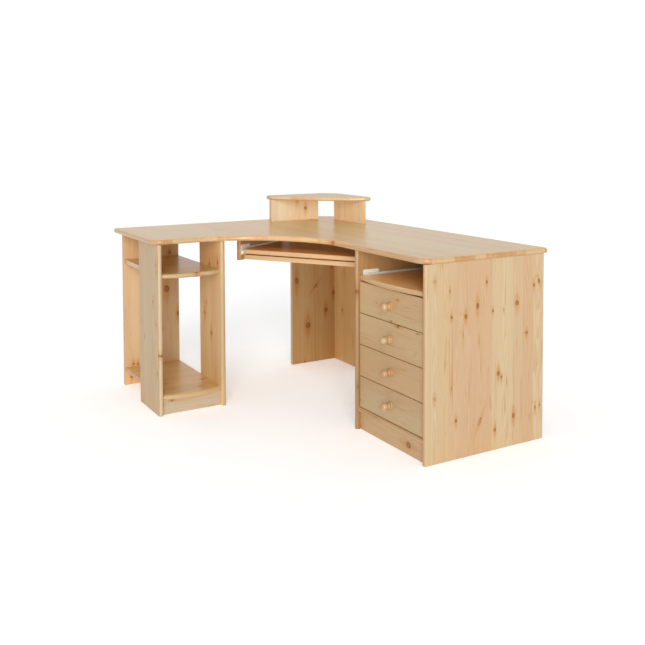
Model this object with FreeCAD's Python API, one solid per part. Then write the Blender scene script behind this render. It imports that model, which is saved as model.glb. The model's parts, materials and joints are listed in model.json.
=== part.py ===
import FreeCAD, Part
import math
import os

from FreeCAD import Vector

# A pine corner desk, in millimetres. The model is drawn from the room corner: the long wing runs
# along +X and the short wing along -Y, so both walls meet at (0, 0). It is moved at export so that
# its origin is the bottom centre of its bounding box.

# Desktop
desk_height = 760.0
desktop_thickness = 22.0
long_wing = 1600.0
short_wing = 1250.0
long_depth = 600.0
short_depth = 560.0
inner_arc_radius = 460.0
front_corner_radius = 55.0
back_corner_cut = 105.0
desktop_edge_radius = 10.5
desktop_bottom = desk_height - desktop_thickness

# Boards
board = 20.0
thin_board = 12.0
board_edge_radius = 9.5

# Drawer pedestal under the long wing
pedestal_outer_x = 1592.0
pedestal_width = 484.0
pedestal_back_y = -10.0
pedestal_front_y = -588.0
pedestal_inner_x = pedestal_outer_x - pedestal_width
opening_left = pedestal_inner_x + board
opening_right = pedestal_outer_x - board
opening_width = opening_right - opening_left
opening_centre_x = (opening_left + opening_right) / 2
pedestal_floor_z = 92.0
pedestal_floor_front_y = -581.0
pedestal_plinth_y = -569.0
pedestal_back_board_y = -28.0

# Drawers
drawer_count = 4
drawer_front_y = -575.0
drawer_front_height = 127.5
drawer_front_thickness = 18.0
drawer_gap = 2.0
drawer_first_z = 94.0
drawer_side_gap = 2.0
drawer_edge_radius = 3.5
drawer_box_lift = 14.0
drawer_box_height = 90.0
drawer_box_back_y = -60.0
drawer_side_thickness = 12.0
drawer_bottom_thickness = 5.0
drawer_groove = 6.0
drawer_bottom_lift = 6.0
knob_length = 43.0
knob_head_radius = 15.5
knob_neck_radius = 8.5
knob_waist_radius = 9.3
knob_flange_radius = 17.0
knob_flange_thickness = 7.0
knob_tenon_radius = 4.0

# Pull-out shelf above the drawers
pullout_bottom_z = 616.0
pullout_thickness = 18.0
pullout_back_y = -80.0
pullout_bow = 25.0
pullout_lip_depth = 16.0
pullout_edge_radius = 8.5

# Computer stand under the short wing
stand_left_y = -1227.0
stand_width = 310.0
stand_front_x = 558.0
stand_side_depth = 255.0
stand_right_y = stand_left_y + stand_width
stand_back_left_y = -1212.0
stand_back_right_y = -936.0
stand_shelf_front_x = 545.0
stand_shelf_bow = 25.0
stand_bottom_shelf_z = 65.0
stand_upper_shelf_z = 590.0
stand_plinth_x = 539.0

# Corner support: two boards that meet behind the knees
corner_face_x = 120.0
corner_face_y = -96.0
corner_board_length = 257.0

# Keyboard tray, drawn square to itself and then turned under the desktop
tray_angle = 33.0
tray_corner = Vector(538.0, -819.0, 0.0)
tray_width = 570.0
tray_depth = 380.0
tray_top_z = 690.0
tray_edge_radius = 6.0
bracket_lead = 11.0
bracket_depth = 380.0
bracket_bottom_z = 641.0
rail_setback = 25.0
rail_depth = 60.0
rail_bottom_z = 642.0

# Monitor riser, standing on the desktop near the corner
riser_corner = Vector(-6.0, -9.0, 0.0)
riser_panel_height = 112.0
riser_board_inset = 70.0
riser_corner_cut = 85.0
riser_board_end = 470.0
riser_end_width = 112.0
riser_front_bulge = 34.0
riser_corner_radius = 22.0
riser_face = 125.0
riser_panel_start = 186.0
riser_panel_end = 463.0
riser_board_z = desk_height + riser_panel_height

# Steel roller runners: a fixed channel on the board and a moving angle under what slides
runner_gap = 12.5
runner_steel = 1.3
channel_height = 31.0
channel_lip = 7.5
channel_notch = 24.0
lobe_length = 75.0
lobe_height = 14.0
lobe_thickness = 3.0
runner_base = 5.0
fixed_roller_radius = 8.7
fixed_roller_z = 10.4
moving_roller_radius = 8.6
moving_roller_z = 10.2
moving_roller_end = 7.0
roller_inset = 12.0
roller_start = 2.3
roller_play = 0.4
roller_axle_radius = 3.0
moving_lip_start = 8.0
moving_lip_z = 19.4
flange_width = 11.5
tray_runner_length = 350.0
case_runner_length = 480.0
runner_setback = 6.0
screw_inset = 90.0
screw_radius = 1.6
screw_head_radius = 3.2
screw_depth = 12.0

# Wooden dowels
dowel_radius = 4.0
dowel_in_end = 20.0
dowel_in_face = 12.0
stand_side_dowel_x = (345.0, 505.0)
stand_back_dowel_y = (-1180.0, -976.0)
shelf_side_dowel_x = (345.0, 500.0)
shelf_back_dowel_y = (-1150.0, -1000.0)
pedestal_dowel_y = (-70.0, -300.0, -530.0)
floor_dowel_y = (-90.0, -300.0, -520.0)
corner_dowel_x = (165.0, 350.0)
corner_dowel_y = (-140.0, -325.0)
bracket_dowel_y = (50.0, 310.0)
riser_dowel_places = (226.0, 426.0)

# Long screws that pull the two corner boards together
corner_screw_z = (80.0, 360.0, 640.0)
corner_screw_head_radius = 4.2
corner_screw_head_height = 3.0
corner_screw_radius = 2.2
corner_screw_length = 50.0

to_part_frame = Vector(-long_wing / 2, short_wing / 2, 0.0)
along_x = Vector(1, 0, 0)
along_y = Vector(0, 1, 0)
upwards = Vector(0, 0, 1)


def block(x_range, y_range, z_range):
    x0, x1 = sorted(x_range)
    y0, y1 = sorted(y_range)
    z0, z1 = sorted(z_range)
    return Part.makeBox(x1 - x0, y1 - y0, z1 - z0, Vector(x0, y0, z0))


def middle_of(edge):
    return edge.valueAt((edge.FirstParameter + edge.LastParameter) / 2)


def rounded(shape, radius, wanted):
    """Fillet the edges whose middle point passes the wanted() test."""
    edges = [edge for edge in shape.Edges if wanted(middle_of(edge))]
    return shape.makeFillet(radius, edges)


def near(a, b):
    return abs(a - b) < 0.01


def slab(edges, bottom, thickness):
    """Close a run of flat edges into a board that is thickness high."""
    face = Part.Face(Part.Wire(Part.__sortEdges__(edges)))
    solid = face.extrude(Vector(0, 0, thickness))
    solid.translate(Vector(0, 0, bottom))
    return solid


def line(start, end):
    return Part.makeLine(Vector(start[0], start[1], 0), Vector(end[0], end[1], 0))


def arc(start, through, end):
    points = [Vector(point[0], point[1], 0) for point in (start, through, end)]
    return Part.Arc(*points).toShape()


def corner_arc(centre, radius, start_angle, end_angle):
    """A quarter turn, or any other turn, about a centre, with angles in degrees."""
    def at(angle):
        turn = math.radians(angle)
        return (centre[0] + radius * math.cos(turn), centre[1] + radius * math.sin(turn))
    return arc(at(start_angle), at((start_angle + end_angle) / 2), at(end_angle))


def less(shape, tools):
    return shape.cut(tools) if tools else shape


def dowel(joint, direction):
    """A dowel across the joint, deeper in the end grain behind it than in the face ahead."""
    start = joint - direction * dowel_in_end
    return Part.makeCylinder(dowel_radius, dowel_in_end + dowel_in_face, start, direction)


def across_tray(shape):
    """Turn a shape from the tray's own square frame into place under the desktop."""
    placed = shape.copy()
    placed.rotate(Vector(0, 0, 0), upwards, tray_angle)
    placed.translate(tray_corner)
    return placed


# ---- dowels ----------------------------------------------------------------------------------

def desktop_dowels():
    """Dowels that stand in the top edge of each upright board and enter the desktop."""
    half = board / 2
    spots = []
    for y in (stand_left_y + half, stand_right_y - half):
        spots += [Vector(x, y, 0) for x in stand_side_dowel_x]
    spots += [Vector(half, y, 0) for y in stand_back_dowel_y]
    for x in (pedestal_inner_x + half, pedestal_outer_x - half):
        spots += [Vector(x, y, 0) for y in pedestal_dowel_y]
    spots += [Vector(corner_face_x - half, y, 0) for y in corner_dowel_y]
    spots += [Vector(x, corner_face_y + half, 0) for x in corner_dowel_x]
    return [dowel(spot + upwards * desktop_bottom, upwards) for spot in spots]


def bracket_dowels():
    """Dowels between the tray brackets and the desktop."""
    pins = []
    for x in (-runner_gap - board / 2, tray_width + runner_gap + board / 2):
        for y in bracket_dowel_y:
            pins.append(across_tray(dowel(Vector(x, y, desktop_bottom), upwards)))
    return pins


def riser_dowels():
    half = board / 2
    spots = [Vector(riser_face - half, -y, 0) for y in riser_dowel_places]
    spots += [Vector(x, half - riser_face, 0) for x in riser_dowel_places]
    lift = upwards * riser_board_z
    return [dowel(riser_corner + spot + lift, upwards) for spot in spots]


def stand_dowels():
    """Dowels that hold the shelves and the plinth of the computer stand."""
    pins = []
    left, right = stand_left_y + board, stand_right_y - board
    for z in (stand_bottom_shelf_z + board / 2, stand_upper_shelf_z + board / 2):
        for x in shelf_side_dowel_x:
            pins.append(dowel(Vector(x, left, z), -along_y))
            pins.append(dowel(Vector(x, right, z), along_y))
        for y in shelf_back_dowel_y:
            pins.append(dowel(Vector(board, y, z), -along_x))
    for y, direction in ((left, -along_y), (right, along_y)):
        joint = Vector(stand_plinth_x - board / 2, y, stand_bottom_shelf_z / 2)
        pins.append(dowel(joint, direction))
    return pins


def pedestal_dowels():
    """Dowels that hold the floor board and the plinth of the pedestal."""
    floor_z = pedestal_floor_z - board / 2
    plinth_z = (pedestal_floor_z - board) / 2
    spots = [(y, floor_z) for y in floor_dowel_y]
    spots.append((pedestal_plinth_y + board / 2, plinth_z))
    pins = [dowel(Vector(opening_left, y, z), -along_x) for y, z in spots]
    pins += [dowel(Vector(opening_right, y, z), along_x) for y, z in spots]
    return pins


def rail_dowels():
    y = rail_setback + rail_depth / 2
    z = rail_bottom_z + board / 2
    left = dowel(Vector(-runner_gap, y, z), -along_x)
    right = dowel(Vector(tray_width + runner_gap, y, z), along_x)
    return [across_tray(left), across_tray(right)]


def corner_screws():
    screws = []
    for z in corner_screw_z:
        start = Vector(corner_face_x - board, corner_face_y + board / 2, z)
        head = Part.makeCylinder(corner_screw_head_radius, corner_screw_head_height, start, along_x)
        shank = Part.makeCylinder(corner_screw_radius, corner_screw_length, start, along_x)
        screws.append(head.fuse(shank).removeSplitter())
    return screws


# ---- runners ---------------------------------------------------------------------------------

def runner_places():
    """Left inner corner, width and placing of every opening that holds a pair of runners."""
    def in_case(shape):
        return shape

    places = {}
    tray_start = Vector(-runner_gap, runner_setback - bracket_lead, tray_top_z - board - runner_base)
    places["tray"] = (tray_start, tray_width + 2 * runner_gap, tray_runner_length, across_tray)
    start_y = drawer_front_y + drawer_front_thickness
    pullout_start = Vector(opening_left, start_y, pullout_bottom_z - runner_base)
    places["pullout"] = (pullout_start, opening_width, case_runner_length, in_case)
    for index in range(drawer_count):
        z = drawer_z(index) + drawer_box_lift - runner_base
        start = Vector(opening_left, start_y, z)
        places[drawer_name(index)] = (start, opening_width, case_runner_length, in_case)
    return places


def drawer_name(index):
    """Drawers are numbered from the top."""
    return f"drawer_{index + 1}"


def drawer_z(index):
    return drawer_first_z + (drawer_count - 1 - index) * (drawer_front_height + drawer_gap)


def channel(length):
    """The fixed channel, with its web on x = 0 and its front end at y = 0."""
    web = block((0, runner_steel), (0, length), (0, channel_height))
    low_lip = block((0, channel_lip), (channel_notch, length), (0, runner_steel))
    high_lip = low_lip.translated(Vector(0, 0, channel_height - runner_steel))
    top = channel_height + lobe_height
    lobe = block((0, lobe_thickness), (0, lobe_length), (channel_height, top))
    lobe = rounded(lobe, lobe_height / 2, lambda p: near(p.z, top) and p.y in (0, lobe_length))
    return web.fuse([low_lip, high_lip, lobe]).removeSplitter()


def fixed_roller():
    centre = Vector(runner_steel, roller_inset, fixed_roller_z)
    axle = Part.makeCylinder(roller_axle_radius, roller_start - runner_steel, centre, along_x)
    tyre_start = Vector(roller_start, roller_inset, fixed_roller_z)
    width = runner_gap - runner_steel - roller_play - roller_start
    tyre = Part.makeCylinder(fixed_roller_radius, width, tyre_start, along_x)
    return axle.fuse(tyre)


def moving_angle(length):
    """The moving angle, screwed to what slides and carried by the fixed roller."""
    underside = runner_base - runner_steel
    web = block((runner_gap - runner_steel, runner_gap), (0, length), (underside, moving_lip_z))
    lip = block((moving_lip_start, runner_gap), (0, length), (moving_lip_z, moving_lip_z + runner_steel))
    flange = block((runner_gap, runner_gap + flange_width), (0, length), (underside, runner_base))
    return web.fuse([lip, flange]).removeSplitter()


def moving_roller(length):
    centre = Vector(roller_start, length - roller_inset, moving_roller_z)
    tyre = Part.makeCylinder(moving_roller_radius, moving_roller_end - roller_start, centre, along_x)
    axle_start = Vector(moving_roller_end, centre.y, centre.z)
    axle_length = runner_gap - runner_steel - axle_start.x
    return tyre.fuse(Part.makeCylinder(roller_axle_radius, axle_length, axle_start, along_x))


def runner_screw(y):
    start = Vector(runner_steel, y, channel_height / 2)
    head = Part.makeCylinder(screw_head_radius, runner_steel, start, -along_x)
    shank = Part.makeCylinder(screw_radius, runner_steel + screw_depth, start, -along_x)
    return head.fuse(shank).removeSplitter()


def in_pairs(shape, place):
    """Set a left-hand shape, and its mirror image on the right, into one opening."""
    start, width, _, put = place
    mirrored = shape.mirror(Vector(width / 2, 0, 0), along_x)
    return [put(half.translated(start)) for half in (shape, mirrored)]


def runner_screws(place):
    length = place[2]
    screws = []
    for y in (screw_inset, length - screw_inset / 2):
        screws += in_pairs(runner_screw(y), place)
    return screws


# ---- boards ----------------------------------------------------------------------------------

def desktop(pins):
    """The L-shaped top: a concave front, rounded front corners and a cut-off back corner."""
    radius, corner = inner_arc_radius, front_corner_radius
    centre = (short_depth + radius, -long_depth - radius)
    outline = [
        line((back_corner_cut, 0), (long_wing, 0)),
        line((long_wing, 0), (long_wing, corner - long_depth)),
        corner_arc((long_wing - corner, corner - long_depth), corner, 0, -90),
        line((long_wing - corner, -long_depth), (short_depth + radius, -long_depth)),
        corner_arc(centre, radius, 90, 180),
        line((short_depth, -long_depth - radius), (short_depth, corner - short_wing)),
        corner_arc((short_depth - corner, corner - short_wing), corner, 0, -90),
        line((short_depth - corner, -short_wing), (0, -short_wing)),
        line((0, -short_wing), (0, -back_corner_cut)),
        line((0, -back_corner_cut), (back_corner_cut, 0)),
    ]
    top = slab(outline, desktop_bottom, desktop_thickness)

    def on_open_edge(p):
        on_face = near(p.z, desk_height) or near(p.z, desktop_bottom)
        against_wall = near(p.x, 0) or near(p.y, 0) or near(p.x - p.y, back_corner_cut)
        return on_face and not against_wall

    return less(rounded(top, desktop_edge_radius, on_open_edge), pins)


def upright(x_range, y_range, round_x=None, round_y=None, tools=()):
    """An upright board, with a half-round vertical edge where round_x or round_y says."""
    shape = block(x_range, y_range, (0, desktop_bottom))

    def on_round_edge(p):
        if not near(p.z, desktop_bottom / 2):
            return False
        return near(p.x, round_x) if round_x is not None else near(p.y, round_y)

    if round_x is not None or round_y is not None:
        shape = rounded(shape, board_edge_radius, on_round_edge)
    return less(shape, tools)


def bowed_board(corner_a, corner_b, bow, back, bottom, thickness, edge_radius):
    """A shelf whose front curves out between two corners by the given bow vector."""
    through = ((corner_a[0] + corner_b[0]) / 2 + bow[0], (corner_a[1] + corner_b[1]) / 2 + bow[1])
    back_a = (corner_a[0] + back[0], corner_a[1] + back[1])
    back_b = (corner_b[0] + back[0], corner_b[1] + back[1])
    outline = [
        arc(corner_a, through, corner_b),
        line(corner_b, back_b),
        line(back_b, back_a),
        line(back_a, corner_a),
    ]
    shape = slab(outline, bottom, thickness)

    def on_front(p):
        flat = near(p.z, bottom) or near(p.z, bottom + thickness)
        return flat and near(p.x, through[0]) and near(p.y, through[1])

    return rounded(shape, edge_radius, on_front)


def pedestal_floor(pins):
    """The board under the lowest drawer, with a half-round nose that stands past the plinth."""
    front, z_range = pedestal_floor_front_y, (pedestal_floor_z - board, pedestal_floor_z)
    shape = block((opening_left, opening_right), (front, pedestal_back_board_y), z_range)
    shape = rounded(shape, board_edge_radius, lambda p: near(p.y, front) and p.z in z_range)
    return less(shape, pins)


def stand_shelf(bottom, pins):
    left, right = stand_left_y + board, stand_right_y - board
    front = stand_shelf_front_x
    shape = bowed_board((front, left), (front, right), (stand_shelf_bow, 0), (board - front, 0),
                        bottom, board, board_edge_radius)
    return less(shape, pins)


def pullout_board():
    """The shelf above the drawers: its bowed front is wider than its body and hides the runners."""
    left = (opening_left + drawer_side_gap, drawer_front_y)
    right = (opening_right - drawer_side_gap, drawer_front_y)
    front = bowed_board(left, right, (0, -pullout_bow), (0, pullout_lip_depth),
                        pullout_bottom_z, pullout_thickness, pullout_edge_radius)
    body = block((opening_left + runner_gap, opening_right - runner_gap),
                 (drawer_front_y, pullout_back_y),
                 (pullout_bottom_z, pullout_bottom_z + pullout_thickness))
    return front.fuse(body).removeSplitter()


def riser_board(pins):
    """The riser's top: straight along both walls, cut at the corner and gently bowed in front."""
    inset, cut, end = riser_board_inset, riser_corner_cut, riser_board_end
    low, tip = inset + cut, riser_end_width
    middle = (tip + end) / 2 + riser_front_bulge / math.sqrt(2)
    outline = [
        line((low, -inset), (end, -inset)),
        line((end, -inset), (end, -tip)),
        arc((end, -tip), (middle, -middle), (tip, -end)),
        line((tip, -end), (inset, -end)),
        line((inset, -end), (inset, -low)),
        line((inset, -low), (low, -inset)),
    ]
    top = slab(outline, riser_board_z, board)

    def at_end_corner(p):
        return near(p.z, riser_board_z + board / 2) and (near(p.x, end) or near(p.y, -end))

    def on_open_edge(p):
        on_face = near(p.z, riser_board_z) or near(p.z, riser_board_z + board)
        at_back = near(p.x, inset) or near(p.y, -inset) or near(p.x - p.y, low + inset)
        return on_face and not at_back

    top = rounded(top, riser_corner_radius, at_end_corner)
    top = rounded(top, board_edge_radius, on_open_edge)
    return less(top.translated(riser_corner), pins)


def riser_panel(x_range, y_range, pins):
    shape = block(x_range, y_range, (desk_height, riser_board_z))
    return less(shape.translated(riser_corner), pins)


def tray_board():
    z_range = (tray_top_z - board, tray_top_z)
    shape = block((0, tray_width), (0, tray_depth), z_range)
    shape = rounded(shape, tray_edge_radius, lambda p: near(p.y, 0) and p.z in z_range)
    return across_tray(shape)


def tray_bracket(x_start, tools):
    front, middle_z = -bracket_lead, (bracket_bottom_z + desktop_bottom) / 2
    shape = block((x_start, x_start + board), (front, front + bracket_depth),
                  (bracket_bottom_z, desktop_bottom))
    shape = rounded(shape, board_edge_radius, lambda p: near(p.y, front) and near(p.z, middle_z))
    return less(across_tray(shape), tools)


def tray_rail(pins):
    shape = block((-runner_gap, tray_width + runner_gap),
                  (rail_setback, rail_setback + rail_depth),
                  (rail_bottom_z, rail_bottom_z + board))
    return less(across_tray(shape), pins)


# ---- drawers ---------------------------------------------------------------------------------

def drawer_bottom(z):
    """The thin bottom, held in grooves in the front and the sides."""
    inner = runner_gap + drawer_side_thickness - drawer_groove
    low = z + drawer_box_lift + drawer_bottom_lift
    return block((opening_left + inner, opening_right - inner),
                 (drawer_front_y + drawer_front_thickness - drawer_groove, drawer_box_back_y),
                 (low, low + drawer_bottom_thickness))


def drawer_front(z, bottom, tenon):
    shape = block((opening_left + drawer_side_gap, opening_right - drawer_side_gap),
                  (drawer_front_y, drawer_front_y + drawer_front_thickness),
                  (z, z + drawer_front_height))
    shape = rounded(shape, drawer_edge_radius, lambda p: near(p.y, drawer_front_y))
    return shape.cut([bottom, tenon])


def drawer_sides(z, bottom):
    start = opening_left + runner_gap
    low = z + drawer_box_lift
    left = block((start, start + drawer_side_thickness),
                 (drawer_front_y + drawer_front_thickness, drawer_box_back_y),
                 (low, low + drawer_box_height))
    right = left.mirror(Vector(opening_centre_x, 0, 0), along_x)
    return [side.cut(bottom) for side in (left, right)]


def drawer_back(z):
    inner = runner_gap + drawer_side_thickness
    low = z + drawer_box_lift
    return block((opening_left + inner, opening_right - inner),
                 (drawer_box_back_y - drawer_side_thickness, drawer_box_back_y),
                 (low + drawer_bottom_lift + drawer_bottom_thickness, low + drawer_box_height))


def turned_knob(z):
    """A turned knob on the drawer's centre: flange, short neck and ball head, about one axis."""
    head, neck, flange = knob_head_radius, knob_neck_radius, knob_flange_radius
    centre_z = knob_length - head
    neck_z = centre_z - math.sqrt(head ** 2 - neck ** 2)
    rim, step = Vector(flange, 0, 0), Vector(flange, 0, knob_flange_thickness)
    neck_end, tip = Vector(neck, 0, neck_z), Vector(0, 0, knob_length)
    hollow = Vector(knob_waist_radius, 0, (knob_flange_thickness + neck_z) / 2)
    edges = [
        Part.makeLine(Vector(0, 0, 0), rim),
        Part.makeLine(rim, step),
        Part.Arc(step, hollow, neck_end).toShape(),
        Part.Arc(neck_end, Vector(head, 0, centre_z), tip).toShape(),
        Part.makeLine(tip, Vector(0, 0, 0)),
    ]
    knob = Part.Face(Part.Wire(edges)).revolve(Vector(0, 0, 0), upwards, 360)
    knob.rotate(Vector(0, 0, 0), along_x, 90)
    knob.translate(Vector(opening_centre_x, drawer_front_y, z + drawer_front_height / 2))
    return knob


def knob_tenon(z):
    start = Vector(opening_centre_x, drawer_front_y, z + drawer_front_height / 2)
    return Part.makeCylinder(knob_tenon_radius, drawer_front_thickness, start, along_y)


def runner_half(length, place):
    return in_pairs(moving_angle(length), place) + in_pairs(moving_roller(length), place)


def drawer_parts(index, place):
    name, z = drawer_name(index), drawer_z(index)
    bottom, tenon = drawer_bottom(z), knob_tenon(z)
    length = place[2]
    return {
        name + "_front": [drawer_front(z, bottom, tenon)],
        name + "_sides": drawer_sides(z, bottom),
        name + "_back": [drawer_back(z)],
        name + "_bottom": [bottom],
        name + "_knob": [turned_knob(z).fuse(tenon)],
        name + "_runners": runner_half(length, place),
    }


# ---- the whole desk --------------------------------------------------------------------------

def stand_boards(top_pins, pins):
    """The boards of the computer stand."""
    left, right = stand_left_y, stand_right_y
    side_x = (stand_front_x - stand_side_depth, stand_front_x)
    plinth = block((stand_plinth_x - board, stand_plinth_x), (left + board, right - board),
                   (0, stand_bottom_shelf_z))
    tools = top_pins + pins
    return {
        "stand_left_side": upright(side_x, (left, left + board), round_x=stand_front_x, tools=tools),
        "stand_right_side": upright(side_x, (right - board, right), round_x=stand_front_x, tools=tools),
        "stand_back_panel": upright((0, board), (stand_back_left_y, stand_back_right_y), tools=tools),
        "stand_upper_shelf": stand_shelf(stand_upper_shelf_z, pins),
        "stand_bottom_shelf": stand_shelf(stand_bottom_shelf_z, pins),
        "stand_plinth": less(plinth, pins),
    }


def pedestal_boards(side_tools, pins):
    """The boards of the drawer case."""
    side_y = (pedestal_front_y, pedestal_back_y)
    opening, plinth_top = (opening_left, opening_right), pedestal_floor_z - board
    plinth = block(opening, (pedestal_plinth_y, pedestal_plinth_y + board), (0, plinth_top))
    return {
        "pedestal_end_panel": upright((opening_right, pedestal_outer_x), side_y,
                                      round_y=pedestal_front_y, tools=side_tools),
        "pedestal_inner_panel": upright((pedestal_inner_x, opening_left), side_y,
                                        round_y=pedestal_front_y, tools=side_tools),
        "pedestal_back_panel": block(opening, (pedestal_back_board_y, pedestal_back_board_y + thin_board),
                                     (plinth_top, desktop_bottom)),
        "pedestal_floor": pedestal_floor(pins),
        "pedestal_plinth": less(plinth, pins),
    }


def corner_boards(tools):
    """The two uprights behind the knees."""
    far_x = corner_face_x + corner_board_length
    far_y = corner_face_y - corner_board_length
    front_y = corner_face_y + board
    return {
        "corner_left_panel": upright((corner_face_x - board, corner_face_x), (far_y, front_y), tools=tools),
        "corner_right_panel": upright((corner_face_x, far_x), (corner_face_y, front_y), tools=tools),
    }


def riser_boards(pins):
    face, start, end = riser_face, riser_panel_start, riser_panel_end
    return {
        "riser_top": riser_board(pins),
        "riser_left_panel": riser_panel((face - board, face), (-end, -start), pins),
        "riser_right_panel": riser_panel((start, end), (-face, board - face), pins),
    }


def tray_holders(tools, pins):
    """The two boards that carry the keyboard tray and the rail between them."""
    return {
        "tray_left_bracket": tray_bracket(-runner_gap - board, tools),
        "tray_right_bracket": tray_bracket(tray_width + runner_gap, tools),
        "tray_rail": tray_rail(pins),
    }


def fixed_boards(joints, case_screws, tray_screws):
    """Every board of the standing frame. joints maps a joint name to its dowels."""
    top_pins, tray_pins = joints["top"], joints["bracket"]
    boards = {"desktop": desktop(top_pins + tray_pins)}
    boards.update(stand_boards(top_pins, joints["stand"]))
    boards.update(pedestal_boards(top_pins + joints["pedestal"] + case_screws, joints["pedestal"]))
    boards.update(corner_boards(top_pins + joints["corner"]))
    boards.update(riser_boards(joints["riser"]))
    boards.update(tray_holders(tray_pins + joints["rail"] + tray_screws, joints["rail"]))
    return boards


def fixed_runners(places, screws):
    """The channels with their holes, and the rollers that turn on them."""
    channels = {}
    for name, place in places.items():
        channels[name] = [one.cut(screws[name]) for one in in_pairs(channel(place[2]), place)]
    drawers = [drawer_name(index) for index in range(drawer_count)]
    return {
        "tray_channels": channels["tray"],
        "pullout_channels": channels["pullout"],
        "drawer_channels": [one for name in drawers for one in channels[name]],
        "channel_rollers": [one for place in places.values() for one in in_pairs(fixed_roller(), place)],
    }


def moving_parts(places):
    """The tray, the pull-out shelf and the drawers, each with its half of the runners."""
    parts = {"keyboard_tray": [tray_board()], "pullout_shelf": [pullout_board()]}
    for name in ("tray", "pullout"):
        length = places[name][2]
        parts[name + "_runners"] = in_pairs(moving_angle(length), places[name])
        parts[name + "_rollers"] = in_pairs(moving_roller(length), places[name])
    for index in range(drawer_count):
        parts.update(drawer_parts(index, places[drawer_name(index)]))
    return parts


def all_parts():
    places = runner_places()
    screws = {name: runner_screws(place) for name, place in places.items()}
    case_screws = [screw for name, group in screws.items() if name != "tray" for screw in group]
    joints = {
        "top": desktop_dowels(), "bracket": bracket_dowels(), "riser": riser_dowels(),
        "stand": stand_dowels(), "pedestal": pedestal_dowels(), "rail": rail_dowels(),
        "corner": corner_screws(),
    }
    boards = fixed_boards(joints, case_screws, screws["tray"])
    parts = {name: [shape] for name, shape in boards.items()}
    parts.update(fixed_runners(places, screws))
    parts["channel_screws"] = case_screws + screws["tray"]
    parts["corner_screws"] = joints["corner"]
    parts["desktop_dowels"] = joints["top"] + joints["bracket"]
    parts["riser_dowels"] = joints["riser"]
    parts["case_dowels"] = joints["stand"] + joints["pedestal"] + joints["rail"]
    parts.update(moving_parts(places))
    return parts


os.makedirs("parts", exist_ok=True)
for node, solids in all_parts().items():
    shape = solids[0] if len(solids) == 1 else Part.makeCompound(solids)
    shape.translated(to_part_frame).exportStep(f"parts/{node}.step")
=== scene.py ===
"""Looks of a corner desk in clear-lacquered knotty pine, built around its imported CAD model."""
import json
import math
from collections import namedtuple

import bpy
from mathutils import Euler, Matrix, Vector


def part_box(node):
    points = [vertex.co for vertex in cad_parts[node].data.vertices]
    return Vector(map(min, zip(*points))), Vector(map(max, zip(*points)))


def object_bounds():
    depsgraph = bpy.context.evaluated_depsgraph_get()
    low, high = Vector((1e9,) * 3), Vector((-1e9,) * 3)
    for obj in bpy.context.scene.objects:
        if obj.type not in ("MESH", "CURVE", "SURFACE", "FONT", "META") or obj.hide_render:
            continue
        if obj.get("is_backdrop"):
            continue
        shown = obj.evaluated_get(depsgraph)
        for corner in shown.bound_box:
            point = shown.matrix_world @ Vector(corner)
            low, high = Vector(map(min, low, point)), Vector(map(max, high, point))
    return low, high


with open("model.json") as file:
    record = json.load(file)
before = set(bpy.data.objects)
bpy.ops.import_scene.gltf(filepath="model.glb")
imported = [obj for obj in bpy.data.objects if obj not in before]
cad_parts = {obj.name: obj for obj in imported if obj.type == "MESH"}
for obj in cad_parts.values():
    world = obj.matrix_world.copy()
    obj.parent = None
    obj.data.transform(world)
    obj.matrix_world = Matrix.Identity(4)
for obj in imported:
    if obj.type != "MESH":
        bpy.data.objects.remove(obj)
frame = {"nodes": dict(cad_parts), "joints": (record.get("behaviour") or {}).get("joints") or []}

cad_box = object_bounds()

# Directions: up, along the desk's long wing, along its short wing, and out of and along the keyboard tray
UP, LONG, WIDE = Vector((0, 0, 1)), Vector((1, 0, 0)), Vector((0, 1, 0))
TRAY_SLIDE = next(joint for joint in frame["joints"] if joint["name"] == "keyboard_tray_slide")
TRAY_OUT = Vector(TRAY_SLIDE["axis"])
TRAY_LONG = UP.cross(TRAY_OUT)

# Camera, solved from the desk's own corners: its place in metres, its turns in degrees, and its lens and
# sensor in millimetres
CAMERA_PLACE = (3.2462, -1.7929, 1.2091)
CAMERA_YAW = 59.03
CAMERA_PITCH = -2.76
CAMERA_ROLL = -0.13
CAMERA_LENS = 47.70
CAMERA_SHIFT = (-0.0269, -0.2287)
SENSOR_WIDTH = 36.0

# Studio: how bright the surroundings look, how much of that lights the desk, and the floor's own glow
BACKDROP_GLOW = 1.0
AMBIENT = 0.60
FLOOR_GLOW = 0.27

# Distant lamps: where each one's light comes from, how wide it looks in degrees, and its strength
DistantLamp = namedtuple("DistantLamp", "name direction width strength")
DISTANT_LAMPS = (
    DistantLamp("key", (0.80, -0.42, 0.42), 22.0, 0.95),
    DistantLamp("low", (0.84, -0.45, 0.12), 30.0, 1.95),
)

# The riser's own lamp: its place from the riser's top in metres, its beam in degrees, its radius in metres
# and its power in watts
RISER_LAMP_OFFSET = (3.9, -2.4, 0.15)
RISER_BEAM = 11.0
RISER_LAMP_RADIUS = 0.35
RISER_LAMP_POWER = 860.0

# Floor: a square sheet in metres, just below the desk's feet, that sinks with the square of the distance
FLOOR_SIZE = 14.0
FLOOR_CELLS = 24
FLOOR_GAP = 0.0005
FLOOR_SINK = 0.0004
FLOOR_WHITES = ((0.95, 0.95, 0.95), (0.97, 0.97, 0.97))

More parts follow.
